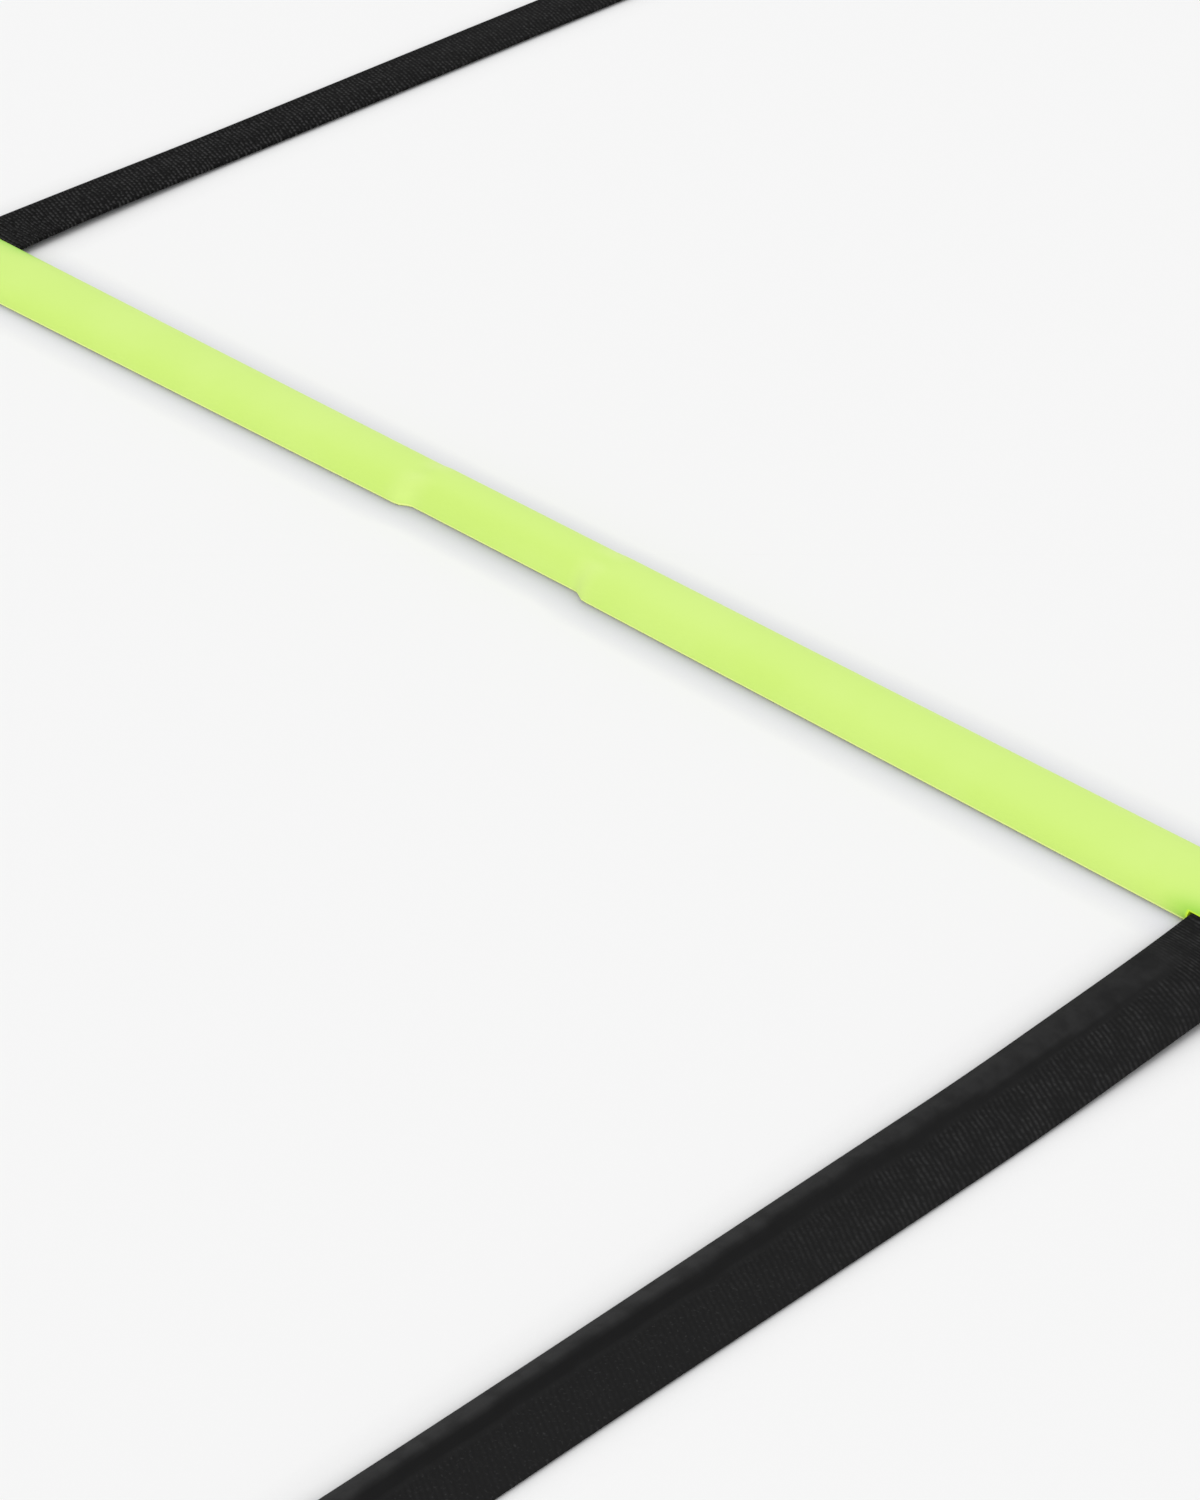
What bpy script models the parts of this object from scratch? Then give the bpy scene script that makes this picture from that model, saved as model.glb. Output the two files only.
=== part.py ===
# Agility ladder: flat webbing side straps threaded through moulded plastic rungs
# X runs along the rungs, Y along the straps, Z is up, and the floor is at Z = 0
import bpy
import bmesh
import math
from mathutils import Matrix

# Ladder
rung_count = 11
rung_pitch = 0.415

# Side straps: the webbing lies flat in the near mouth of a slot, and between the rungs
# its inner edge rolls up, higher on the right and tighter on the left
strap_outer_span = 0.4160
webbing_width = 0.0225
strap_width_left = 0.0156
strap_width_right = 0.0198
strap_thickness = 0.0009
spread_length = 0.075
far_spread = 0.0013
far_spread_length = 0.060
slot_inset = 0.0008
roll_height_left = 0.0006
roll_height_right = 0.0018
roll_start = 0.002
roll_length = 0.050
roll_fade = 0.040
ramp_length = 0.078
ramp_start = 0.003
hem_length = 0.028
hem_taper = 0.0025
strap_gap = 0.0003
fold_clearance = 0.00015

# Rung, as seen from above and from the side; it stands a little higher on its right half
rung_margin = 0.008
end_width = 0.0204
end_height = 0.0040
inner_width = 0.0164
inner_height_left = 0.0058
inner_height_right = 0.0065
panel_width = 0.0134
panel_height = 0.0064
panel_length = 0.0510
panel_shift = 0.0070
shoulder_length = 0.0050
foot_radius = 0.0009
end_round = 0.0090

# Slot in each end of a rung, open on both long sides
slot_floor = 0.0009
slot_clearance = 0.0003
slot_side_clearance = 0.0009
cut_overrun = 0.002

# Shares and counts
crown_power = 2.3
crown_steps = 12
foot_steps = 2
end_width_share = 0.42
end_height_share = 0.62
end_round_shares = (0.0, 0.08, 0.27, 0.6, 1.0)
bay_shares = (0.08, 0.16, 0.26, 0.36, 0.48, 0.64, 0.84)
valley_share = 0.6
roll_top_share = 0.84
roll_edge_share = 0.45

# Sizes that follow from the ones above
strap_outer = strap_outer_span / 2
rung_length = strap_outer_span + 2 * rung_margin
slot_height = strap_thickness + 2 * slot_clearance
slot_width = webbing_width + 2 * slot_side_clearance
slot_center = strap_outer - slot_inset - webbing_width / 2
strap_lift = slot_floor + slot_clearance
half_bay = rung_pitch / 2
rung_edge = end_width / 2
fold_height = strap_thickness + max(roll_height_left, roll_height_right) + fold_clearance


def clear_scene():
    for item in list(bpy.data.objects):
        bpy.data.objects.remove(item, do_unlink=True)


def new_collection(name):
    collection = bpy.data.collections.new(name)
    bpy.context.scene.collection.children.link(collection)
    return collection


def new_material(name, color, roughness, metallic=0.0):
    material = bpy.data.materials.new(name)
    material.use_nodes = True
    shader = material.node_tree.nodes["Principled BSDF"]
    shader.inputs["Base Color"].default_value = (*color, 1.0)
    shader.inputs["Roughness"].default_value = roughness
    shader.inputs["Metallic"].default_value = metallic
    return material


def smooth_step(share):
    return share * share * (3 - 2 * share)


def mix(start, end, share):
    return start + (end - start) * share


# Closed outline of the rung cut across: a flat foot, small rounded edges and a crowned top
def rung_outline(width, height):
    radius = min(foot_radius, width / 4, height / 3)
    rise = height - radius
    points = []
    for step in range(foot_steps + 1):
        angle = math.pi / 2 * step / foot_steps
        points.append((width / 2 - radius + radius * math.sin(angle), radius - radius * math.cos(angle)))
    for step in range(1, crown_steps):
        angle = math.pi * step / crown_steps
        across = math.copysign(abs(math.cos(angle)) ** (2 / crown_power), math.cos(angle))
        points.append((width / 2 * across, radius + rise * math.sin(angle) ** (2 / crown_power)))
    for step in range(foot_steps, -1, -1):
        angle = math.pi / 2 * step / foot_steps
        points.append((radius - width / 2 - radius * math.sin(angle), radius - radius * math.cos(angle)))
    return points


# The rounded end of a rung, as distances from its tip with the width and height there
def end_stations():
    stations = []
    for share in end_round_shares:
        rounding = math.sqrt(1 - (1 - share) ** 2)
        stations.append((end_round * share, end_width * mix(end_width_share, 1, rounding),
                         end_height * mix(end_height_share, 1, rounding)))
    return stations


# One half of a rung from its tip to the edge of the panel: distance from the rung's middle,
# width and height
def half_stations(panel_edge, inner_height):
    stations = [(rung_length / 2 - inward, width, height) for inward, width, height in end_stations()]
    flare_start = panel_edge + shoulder_length
    flare_end = rung_length / 2 - end_round
    stations.append(((flare_start + flare_end) / 2, mix(end_width, inner_width, 0.5),
                     mix(end_height, inner_height, 0.5)))
    stations.append((flare_start, inner_width, inner_height))
    stations.append((panel_edge + shoulder_length / 2, mix(inner_width, panel_width, 0.5),
                     mix(inner_height, panel_height, 0.5)))
    stations.append((panel_edge, panel_width, panel_height))
    return stations


# Stations from the left end of the rung to its right end: place, width, height
def rung_stations():
    left = half_stations(panel_length / 2 + panel_shift, inner_height_left)
    right = half_stations(panel_length / 2 - panel_shift, inner_height_right)
    return [(-place, width, height) for place, width, height in left] + list(reversed(right))


def add_slot_cutter(side, collection):
    bpy.ops.mesh.primitive_cube_add(size=1)
    cutter = bpy.context.object
    cutter.name = "cut_slot_right" if side > 0 else "cut_slot_left"
    for holder in list(cutter.users_collection):
        holder.objects.unlink(cutter)
    collection.objects.link(cutter)
    cutter.scale = (slot_width, end_width + 2 * cut_overrun, slot_height)
    cutter.location = (side * slot_center, 0, slot_floor + slot_height / 2)
    cutter.hide_render = True
    cutter.display_type = "WIRE"
    return cutter


# One rung with both slots cut, made once and shared by every rung
def cut_rung(parts, cutters):
    rings = [[(place, y, z) for y, z in rung_outline(width, height)]
             for place, width, height in rung_stations()]
    blank = bpy.data.objects.new("rung_blank", loft("rung_blank", rings))
    parts.objects.link(blank)
    for side in (-1, 1):
        slot = blank.modifiers.new("slot", "BOOLEAN")
        slot.operation = "DIFFERENCE"
        slot.solver = "EXACT"
        slot.object = add_slot_cutter(side, cutters)
    bpy.context.view_layer.update()
    graph = bpy.context.evaluated_depsgraph_get()
    data = bpy.data.meshes.new_from_object(blank.evaluated_get(graph))
    data.name = "rung"
    data.shade_smooth()
    data.set_sharp_from_angle(angle=math.radians(40))
    bpy.data.objects.remove(blank, do_unlink=True)
    return data


# Height of the strap's lower face above the floor, by its distance from the rung's middle
def strap_height(place):
    share = min(max((abs(place) - rung_edge - ramp_start) / ramp_length, 0), 1)
    return strap_lift * (1 - smooth_step(share))


# How far the inner edge has rolled up: not at all in the slot, and sewn flat at a hem
def roll_share(place, hem_start, hem_end):
    rising = min(max((abs(place) - rung_edge - roll_start) / roll_length, 0), 1)
    falling = min(max(min(place - hem_start, hem_end - place) / roll_fade, 0), 1)
    return smooth_step(rising) * smooth_step(falling)


# The full width shows at the near mouth of the slot, and narrows to both sides of it
def strap_breadth(place, width):
    near = min(max((-place - rung_edge) / spread_length, 0), 1)
    far = min(max((place - rung_edge) / far_spread_length, 0), 1)
    through = min(max((place + rung_edge) / end_width, 0), 1)
    near_extra = (webbing_width - width) * (1 - near) ** 3
    return width + mix(near_extra, far_spread * (1 - far) ** 3, through)


# Section across the strap, from its outer edge inwards and back underneath
def strap_section(place, thickness, breadth, roll):
    height = strap_height(place)
    inset = slot_inset * height / strap_lift
    lower = [(0, 0), (breadth * valley_share, 0), (breadth * roll_top_share, roll),
             (breadth, roll * roll_edge_share)]
    lower = [(across + inset, up + height) for across, up in lower]
    upper = [(across, up + thickness) for across, up in lower]
    return upper + list(reversed(lower))


# Stations along one strap section: place, thickness and share rolled;
# the outer sections end in a folded hem
def strap_stations(first, last):
    start = -half_bay if first else -half_bay + strap_gap / 2
    end = half_bay if last else half_bay - strap_gap / 2
    hem_start = start + hem_length + hem_taper if first else -rung_pitch
    hem_end = end - hem_length - hem_taper if last else rung_pitch
    run = half_bay - rung_edge
    places = [-rung_edge - run * share for share in reversed(bay_shares)]
    places += [-rung_edge, 0, rung_edge]
    places += [rung_edge + run * share for share in bay_shares]
    places = [max(start, hem_start)] + [
        place for place in places if hem_start < place < hem_end] + [min(end, hem_end)]
    stations = [(place, strap_thickness, roll_share(place, hem_start, hem_end)) for place in places]
    hem = 2 * strap_thickness
    if first:
        stations = [(start, hem, 0), (start + hem_length, hem, 0)] + stations
    if last:
        stations += [(end - hem_length, hem, 0), (end, hem, 0)]
    return stations


# Joins a row of closed rings with faces and shuts both ends
def loft(name, rings):
    mesh = bmesh.new()
    loops = [[mesh.verts.new(point) for point in ring] for ring in rings]
    for ring, following in zip(loops, loops[1:]):
        for index in range(len(ring)):
            after = (index + 1) % len(ring)
            mesh.faces.new((ring[index], ring[after], following[after], following[index]))
    mesh.faces.new(list(reversed(loops[0])))
    mesh.faces.new(loops[-1])
    bmesh.ops.recalc_face_normals(mesh, faces=mesh.faces)
    data = bpy.data.meshes.new(name)
    mesh.to_mesh(data)
    mesh.free()
    return data


# The section's origin lies on the fold that joins it to the section nearer the middle;
# an upward fold turns over the rolled edge
def fold_origin(index):
    middle = rung_count // 2
    if index == middle:
        return (0.0, 0.0)
    toward = -1 if index > middle else 1
    fold = min(index, index + toward)
    upward = fold % 2 == 0
    return (rung_place(index) + toward * half_bay, fold_height if upward else -fold_clearance)


def rung_place(index):
    return (index - (rung_count - 1) / 2) * rung_pitch


def add_strap(index, side, material, parts):
    name = f"strap_{'right' if side > 0 else 'left'}_{index + 1:02d}"
    width = strap_width_right if side > 0 else strap_width_left
    roll_height = roll_height_right if side > 0 else roll_height_left
    along, up = fold_origin(index)
    rings = []
    for place, thickness, share in strap_stations(index == 0, index == rung_count - 1):
        section = strap_section(place, thickness, strap_breadth(place, width), roll_height * share)
        rings.append([(-side * across, place + rung_place(index) - along, height - up)
                      for across, height in section])
    data = loft(name, rings)
    data.materials.append(material)
    strap = bpy.data.objects.new(name, data)
    strap.location = (side * strap_outer, along, up)
    parts.objects.link(strap)
    return strap


def add_rung(index, data, parts):
    rung = bpy.data.objects.new(f"rung_{index + 1:02d}", data)
    rung.matrix_world = Matrix.Translation((0, rung_place(index), 0))
    parts.objects.link(rung)
    return rung


def build():
    clear_scene()
    parts = new_collection("agility_ladder")
    cutters = new_collection("agility_ladder_cutters")
    plastic = new_material("rung_plastic", (0.62, 0.87, 0.21), 0.42)
    webbing = new_material("strap_webbing", (0.017, 0.017, 0.018), 0.85)
    rung_data = cut_rung(parts, cutters)
    rung_data.materials.clear()
    rung_data.materials.append(plastic)
    for index in range(rung_count):
        add_rung(index, rung_data, parts)
        for side in (-1, 1):
            add_strap(index, side, webbing, parts)


build()
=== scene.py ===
import math
import bpy
from mathutils import Matrix, Vector


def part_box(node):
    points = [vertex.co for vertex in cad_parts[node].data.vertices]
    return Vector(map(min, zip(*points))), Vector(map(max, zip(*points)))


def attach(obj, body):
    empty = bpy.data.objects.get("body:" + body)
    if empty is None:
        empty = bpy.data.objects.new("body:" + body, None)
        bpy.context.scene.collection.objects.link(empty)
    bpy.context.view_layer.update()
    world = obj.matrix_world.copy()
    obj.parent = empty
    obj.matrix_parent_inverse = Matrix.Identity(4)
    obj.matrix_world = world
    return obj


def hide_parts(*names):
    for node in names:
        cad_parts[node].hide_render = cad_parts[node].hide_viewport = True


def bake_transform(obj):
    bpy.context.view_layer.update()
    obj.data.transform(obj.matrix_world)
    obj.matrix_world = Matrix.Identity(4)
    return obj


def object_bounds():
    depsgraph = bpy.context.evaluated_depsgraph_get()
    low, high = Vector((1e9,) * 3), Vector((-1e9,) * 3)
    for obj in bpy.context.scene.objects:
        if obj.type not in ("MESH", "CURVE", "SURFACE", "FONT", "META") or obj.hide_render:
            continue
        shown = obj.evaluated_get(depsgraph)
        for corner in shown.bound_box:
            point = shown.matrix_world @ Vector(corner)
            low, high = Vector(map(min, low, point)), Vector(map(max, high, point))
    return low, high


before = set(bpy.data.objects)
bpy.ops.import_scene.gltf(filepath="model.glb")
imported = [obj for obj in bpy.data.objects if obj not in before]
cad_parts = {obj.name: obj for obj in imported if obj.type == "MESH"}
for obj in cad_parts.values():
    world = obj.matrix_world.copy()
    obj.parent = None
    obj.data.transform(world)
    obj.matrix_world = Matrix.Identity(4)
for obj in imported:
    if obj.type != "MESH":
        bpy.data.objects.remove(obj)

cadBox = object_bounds()
turn = 2 * math.pi
rungNodes = sorted(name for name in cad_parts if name.startswith("rung_"))
numbers = [name.split("_")[1] for name in rungNodes]


# a node's middle and size, read from the frame
def middleOf(node):
    low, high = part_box(node)
    return (Vector(low) + Vector(high)) / 2


def sizeOf(node):
    low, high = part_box(node)
    return Vector(high) - Vector(low)


rungPlaces = {number: middleOf("rung_" + number).y for number in numbers}
rungPitch = (rungPlaces[numbers[-1]] - rungPlaces[numbers[0]]) / (len(numbers) - 1)
rungSize = sizeOf("rung_" + numbers[0])
print("frame read:", len(numbers), "rungs, pitch", round(rungPitch, 4))


# camera at the photograph's viewing angle: place on the floor plan, height, turn and tilt
view = {
    "place": (0.60614, -0.59079, 0.50133), "turn": 44.91, "down": 33.09,
    "focalPixels": 4566, "imageHeight": 1500, "sensorHeight": 36,
}


def addCamera():
    data = bpy.data.cameras.new("camera")
    data.sensor_fit = "VERTICAL"
    data.sensor_height = view["sensorHeight"]
    data.lens = view["focalPixels"] / view["imageHeight"] * view["sensorHeight"]
    camera = bpy.data.objects.new("camera", data)
    camera.location = view["place"]
    camera.rotation_euler = (math.radians(90 - view["down"]), 0, math.radians(view["turn"]))
    bpy.context.scene.collection.objects.link(camera)
    bpy.context.scene.camera = camera


addCamera()
print("camera set")


# a socket that takes part in Python sums; each sum adds its Math node
class Wire:
    def __init__(self, board, socket):
        self.board = board
        self.socket = socket

    def __add__(self, other):
        return self.board.math("ADD", self, other)

    def __radd__(self, other):
        return self.board.math("ADD", other, self)

    def __sub__(self, other):
        return self.board.math("SUBTRACT", self, other)

    def __rsub__(self, other):
        return self.board.math("SUBTRACT", other, self)

    def __mul__(self, other):
        return self.board.math("MULTIPLY", self, other)

    def __rmul__(self, other):
        return self.board.math("MULTIPLY", other, self)

    def __truediv__(self, other):
        return self.board.math("DIVIDE", self, other)

    def __rtruediv__(self, other):
        return self.board.math("DIVIDE", other, self)

    def __pow__(self, other):
        return self.board.math("POWER", self, other)


# how the nodes are laid out in the editor
nodeGrid = {"columns": 12, "width": 190, "height": 260}


# a node tree being written, for shaders and geometry alike
class Board:
    def __init__(self, tree):
        self.tree = tree
        tree.nodes.clear()

    # settings go in first, then the sockets' values or links
    def node(self, kind, settings=None, values=None):
        node = self.tree.nodes.new(kind)
        row, column = divmod(len(self.tree.nodes), nodeGrid["columns"])
        node.location = (column * nodeGrid["width"], -row * nodeGrid["height"])
        for name, value in (settings or {}).items():
            setattr(node, name, value)
        for key, value in (values or {}).items():
            self.feed(node.inputs[key], value)
        return node

    def feed(self, socket, value):
        if isinstance(value, Wire):
            self.tree.links.new(value.socket, socket)
        else:
            socket.default_value = value

    def wire(self, node, output=0):
        return Wire(self, node.outputs[output])

    def math(self, operation, *values):
        return self.wire(self.node("ShaderNodeMath", {"operation": operation}, dict(enumerate(values))))

    def sin(self, value):
        return self.math("SINE", value)

    def cos(self, value):
        return self.math("COSINE", value)

    def abs(self, value):
        return self.math("ABSOLUTE", value)

    def low(self, first, second):
        return self.math("MINIMUM", first, second)

    def high(self, first, second):
        return self.math("MAXIMUM", first, second)

    # a clamped run from start to end, straight or eased
    def run(self, value, low, high, start=0.0, end=1.0, kind="SMOOTHSTEP"):
        values = {"Value": value, "From Min": low, "From Max": high, "To Min": start, "To Max": end}
        return self.wire(self.node("ShaderNodeMapRange", {"interpolation_type": kind}, values))

    def vector(self, x, y, z):
        return self.wire(self.node("ShaderNodeCombineXYZ", {}, {"X": x, "Y": y, "Z": z}))

    def parts(self, vector):
        node = self.node("ShaderNodeSeparateXYZ", {}, {0: vector})
        return [self.wire(node, index) for index in range(3)]

    def noise(self, vector, scale, detail):
        values = {"Vector": vector, "Scale": scale, "Detail": detail}
        return self.wire(self.node("ShaderNodeTexNoise", {"noise_dimensions": "3D"}, values))


# the value a share of the way from first to second
def between(first, second, share):
    return first + share * (second - first)


# a geometry tree with named inputs, and the plain mesh that comes out of it
class Form:
    def __init__(self, name, sizes):
        self.tree = bpy.data.node_groups.new(name, "GeometryNodeTree")
        self.board = Board(self.tree)
        self.sockets = {}
        for size, kind in sizes.items():
            self.sockets[size] = self.tree.interface.new_socket(name=size, in_out="INPUT", socket_type=kind)
        self.tree.interface.new_socket(name="Geometry", in_out="OUTPUT", socket_type="NodeSocketGeometry")
        self.start = self.board.node("NodeGroupInput")

    def size(self, name):
        return self.board.wire(self.start, name)

    # every tree ends in Realize Instances and Set Material
    def end(self, geometry):
        board = self.board
        real = board.node("GeometryNodeRealizeInstances", {}, {"Geometry": geometry})
        smooth = board.node("GeometryNodeSetShadeSmooth", {}, {"Geometry": board.wire(real)})
        finish = board.node("GeometryNodeSetMaterial", {}, {
            "Geometry": board.wire(smooth), "Material": self.size("Material")})
        board.node("NodeGroupOutput", {}, {"Geometry": board.wire(finish)})

    # the modifier's inputs are set by identifier before the object is first evaluated
    def make(self, name, values):
        piece = bpy.data.objects.new(name, bpy.data.meshes.new(name))
        bpy.context.scene.collection.objects.link(piece)
        modifier = piece.modifiers.new("form", "NODES")
        modifier.node_group = self.tree
        for size, value in values.items():
            modifier[self.sockets[size].identifier] = value
        graph = bpy.context.evaluated_depsgraph_get()
        mesh = bpy.data.meshes.new_from_object(piece.evaluated_get(graph), depsgraph=graph)
        mesh.name = name
        piece.modifiers.remove(modifier)
        piece.data = mesh
        return piece


def newMaterial(name):
    material = bpy.data.materials.new(name)
    material.use_nodes = True
    return material, Board(material.node_tree)


def finishMaterial(board, values):
    shader = board.node("ShaderNodeBsdfPrincipled", {}, values)
    board.node("ShaderNodeOutputMaterial", {}, {"Surface": board.wire(shader)})


# a Mix node has several sockets of one name, so its colour ones are found by identifier
def mixColor(board, factor, first, second):
    values = {"Factor_Float": factor, "A_Color": first, "B_Color": second}
    node = board.node("ShaderNodeMix", {"data_type": "RGBA"})
    for socket in node.inputs:
        if socket.identifier in values:
            board.feed(socket, values[socket.identifier])
    mixed = [socket for socket in node.outputs if socket.identifier == "Result_Color"]
    return Wire(board, mixed[0])


def addBump(board, height, strength=1.0, distance=1.0):
    values = {"Strength": strength, "Distance": distance, "Height": height}
    return board.wire(board.node("ShaderNodeBump", {}, values))


# rung: flat foot, small rounded edges, crowned top, flared ends and a raised panel
rung = {
    "waistWidth": 0.0164, "waistHeightLeft": 0.0058, "waistHeightRight": 0.0065,
    "panelWidth": 0.0143, "panelHeight": 0.0064, "panelLength": 0.0508,
    "panelShift": -0.0092, "panelLean": 0.00065, "shoulder": 0.0038,
    "endWidth": 0.0204, "endHeight": 0.0040, "endRound": 0.0090,
    "endWidthShare": 0.42, "endHeightShare": 0.62, "footRadius": 0.0009, "crownPower": 2.3,
    "slotFloor": 0.0009, "slotHeight": 0.0015, "slotWidth": 0.0231, "slotInset": -0.0005, "overrun": 0.002,
    "rings": 300, "sides": 96, "endRingShare": 0.04, "footShare": 0.6, "sharpAngle": 38,
}


def rungForm():
    lengths = ["Length", "End Width", "End Height", "End Round", "End Width Share", "End Height Share",
               "Waist Width", "Waist Left", "Waist Right", "Panel Width", "Panel Height", "Panel Length",
               "Panel Shift", "Panel Lean", "Shoulder", "Foot Radius", "Crown Power", "Slot Floor",
               "Slot Height", "Slot Width", "Slot Place", "Overrun", "End Ring Share", "Foot Share"]
    sizes = {name: "NodeSocketFloat" for name in lengths}
    sizes.update({"Rings": "NodeSocketInt", "Sides": "NodeSocketInt", "Material": "NodeSocketMaterial"})
    form = Form("rungForm", sizes)
    board, size = form.board, form.size
    bar = board.node("GeometryNodeMeshCylinder", {"fill_type": "NGON"}, {
        "Vertices": size("Sides"), "Side Segments": size("Rings"), "Radius": 1.0, "Depth": 1.0})
    cosine, sine, along = board.parts(board.wire(board.node("GeometryNodeInputPosition")))

    # along the rung: the end rings close up on the rounded tip
    inward = 0.5 - board.abs(along)
    swing = board.run(inward, 0.0, size("End Ring Share"), 0.0, math.pi / 2, "LINEAR")
    straight = size("Length") / 2 - size("End Round")
    reach = board.run(inward, size("End Ring Share"), 0.5, 0.0, 1.0, "LINEAR")
    fromTip = size("End Round") * (1 - board.cos(swing)) + reach * straight
    x = board.math("SIGN", along) * (size("Length") / 2 - fromTip)

    # widths and heights along it
    fromPanel = board.abs(x - size("Panel Shift")) - size("Panel Length") / 2
    onFlank = board.run(fromPanel, 0.0, size("Shoulder"))
    flareStart = size("Panel Length") / 2 + size("Shoulder")
    flareEnd = straight - size("Panel Shift") * board.math("SIGN", x)
    flare = board.run(board.abs(x - size("Panel Shift")), flareStart, flareEnd, 0.0, 1.0, "LINEAR")
    flankWidth = between(size("Waist Width"), size("End Width"), flare)
    waistHeight = board.run(x, size("Panel Shift"), 0.0, size("Waist Left"), size("Waist Right"), "LINEAR")
    flankHeight = between(waistHeight, size("End Height"), flare)
    tip = board.sin(swing)
    width = between(size("Panel Width"), flankWidth, onFlank) * between(size("End Width Share"), 1, tip)
    height = between(size("Panel Height"), flankHeight, onFlank) * between(size("End Height Share"), 1, tip)

    # across it: crown above, rounded edges and a flat foot below
    radius = board.low(size("Foot Radius"), height / 3)  # at most a third of the height
    crownShare = 2 / size("Crown Power")
    upper = board.math("GREATER_THAN", sine, 0.0)
    crownAcross = board.abs(cosine) ** crownShare * width / 2
    crownUp = radius + (height - radius) * board.high(sine, 0.0) ** crownShare
    around = board.math("ARCTAN2", board.abs(cosine), board.abs(sine)) / (math.pi / 2)
    edgeTurn = board.run(around, size("Foot Share"), 1.0, 0.0, math.pi / 2, "LINEAR")
    flat = board.run(around, 0.0, size("Foot Share"), 0.0, 1.0, "LINEAR")
    footAcross = (width / 2 - radius) * flat + radius * board.sin(edgeTurn)
    footUp = radius * (1 - board.cos(edgeTurn))
    aside = between(footAcross, crownAcross, upper)
    y = board.math("SIGN", cosine) * aside + size("Panel Lean") * (1 - onFlank)
    z = between(footUp, crownUp, upper)
    shaped = board.node("GeometryNodeSetPosition", {}, {
        "Geometry": board.wire(bar), "Position": board.vector(x, y, z)})

    # slots, open on both long sides
    solid = board.wire(shaped)
    for side in (-1.0, 1.0):
        block = board.node("GeometryNodeMeshCube", {}, {"Size": board.vector(
            size("Slot Width"), size("End Width") + 2 * size("Overrun"), size("Slot Height"))})
        place = board.vector(size("Slot Place") * side, 0.0, size("Slot Floor") + size("Slot Height") / 2)
        moved = board.node("GeometryNodeTransform", {}, {"Geometry": board.wire(block), "Translation": place})
        cut = board.node("GeometryNodeMeshBoolean", {"operation": "DIFFERENCE", "solver": "EXACT"}, {
            "Mesh 1": solid, "Mesh 2": board.wire(moved)})
        solid = board.wire(cut)
    form.end(solid)
    return form


# the slots stand where the straps run, which is read from one strap in the middle
strapNode = "strap_right_" + numbers[len(numbers) // 2]
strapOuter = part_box(strapNode)[1][0]
slotPlace = strapOuter + rung["slotInset"] - rung["slotWidth"] / 2


# satin moulded plastic of the rungs, with painted shade and light: darker where the webbing runs under the
# thin plastic over a slot (painted shade), bright inside the slots and along the lower edge (painted light),
# paler beside the panel. A noise is given by its scale and detail
plastic = {
    "color": (0.632, 0.880, 0.178, 1), "paleColor": (0.672, 0.900, 0.222, 1),
    "edgeHighlightColor": (0.860, 0.990, 0.330, 1), "slotShadeColor": (0.300, 0.690, 0.034, 1),
    "slotLightColor": (0.660, 0.960, 0.020, 1),
    "cloudNoise": (34.0, 3.0), "cloudRange": (0.40, 0.68), "cloudAmount": 0.45,
    "grainNoise": (2600.0, 2.0), "grainHeight": 0.000010, "waveNoise": (24.0, 1.0), "waveHeight": 0.00005,
    "edgeHighlightHeight": 0.00095, "edgeHighlightFade": 0.00025, "edgeHighlightFoot": (0.00002, 0.00008),
    "slotShadeReach": 0.0090, "slotShadeInside": 0.0040, "slotShadeDepth": 0.0021, "slotShadeAmount": 0.90,
    "slotLightReach": 0.0008, "slotLightTop": 0.00024, "patchReach": 0.007, "patchSide": 0.0035,
    "roughness": 0.50, "roughnessChange": 0.08, "ior": 1.43,
}


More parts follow.
